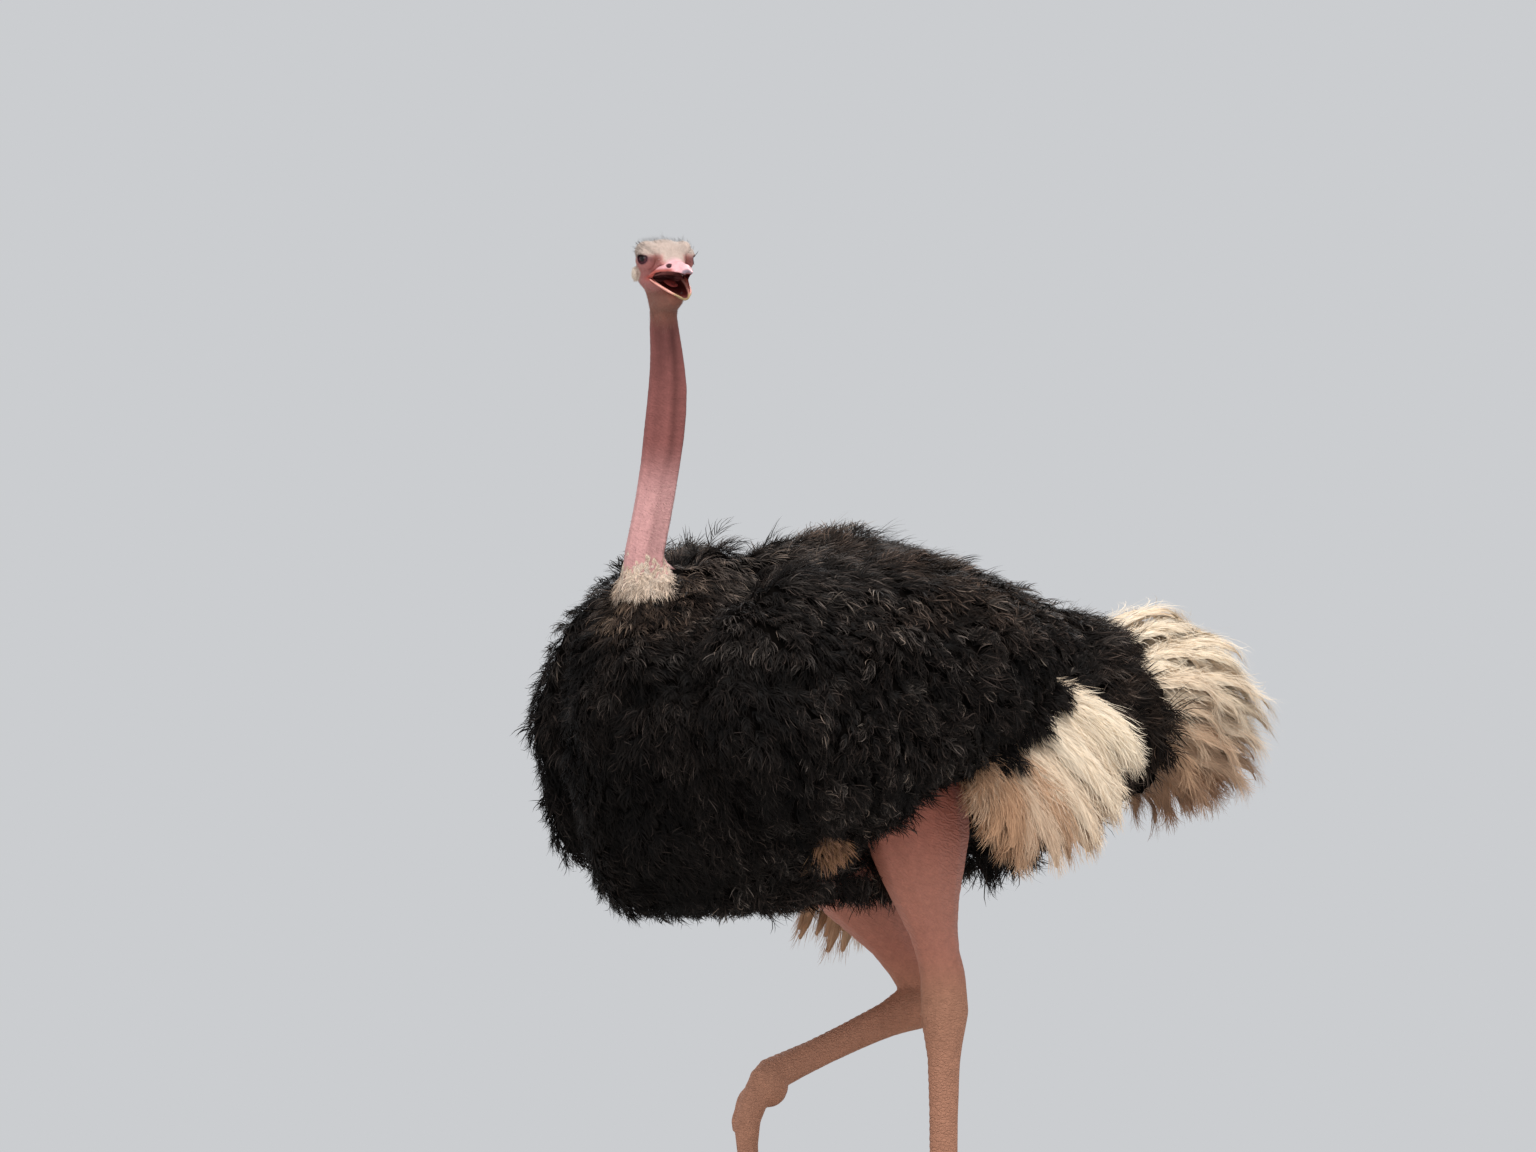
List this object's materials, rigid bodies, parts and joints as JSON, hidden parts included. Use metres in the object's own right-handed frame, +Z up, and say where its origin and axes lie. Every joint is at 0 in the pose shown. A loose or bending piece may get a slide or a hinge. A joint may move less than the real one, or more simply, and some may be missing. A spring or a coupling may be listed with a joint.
{
  "type": "ostrich model",
  "caption": "Life-size still model of a male ostrich in mid-stride, one foot planted, neck up and bill open, with drooped wings and a bushy tail, on a flat display base.",
  "frame": {"origin": "centre of the display base's underside", "axes": "+Z up; the bird faces -Y and its left side is towards +X"},
  "size_m": [0.8992, 1.6988, 2.0978],
  "materials": {
    "base_paint": "matt",
    "black_plumage": "soft curled feathers",
    "pale_plumage": "soft drooping plumes",
    "bare_skin": "bare skin with fine down",
    "leg_scales": "scaled leg skin",
    "horn": "satin horn",
    "claw_horn": "worn horn",
    "tongue": "moist",
    "eye_gloss": "wet gloss"
  },
  "bodies": {
    "root": {"stand_base": "base_paint", "trunk": "black_plumage", "wing_left": "black_plumage", "wing_right": "black_plumage", "rump": "black_plumage", "tail": "pale_plumage", "plumes_left": "pale_plumage", "plumes_right": "pale_plumage", "neck_lower": "bare_skin", "neck_middle": "bare_skin", "neck_upper": "bare_skin", "head": "bare_skin", "ear_left": "bare_skin", "ear_right": "bare_skin", "thigh_left": "bare_skin", "thigh_right": "bare_skin", "shank_left": "leg_scales", "shank_right": "leg_scales", "foot_left": "leg_scales", "foot_right": "leg_scales", "toe_inner_left": "leg_scales", "toe_outer_left": "leg_scales", "toe_inner_right": "leg_scales", "toe_outer_right": "leg_scales", "claw_inner_left": "claw_horn", "claw_outer_left": "claw_horn", "claw_inner_right": "claw_horn", "claw_outer_right": "claw_horn", "bill_upper": "horn", "bill_lower": "horn", "tongue": "tongue", "eye_left": "eye_gloss", "eye_right": "eye_gloss"}
  },
  "joints": []
}
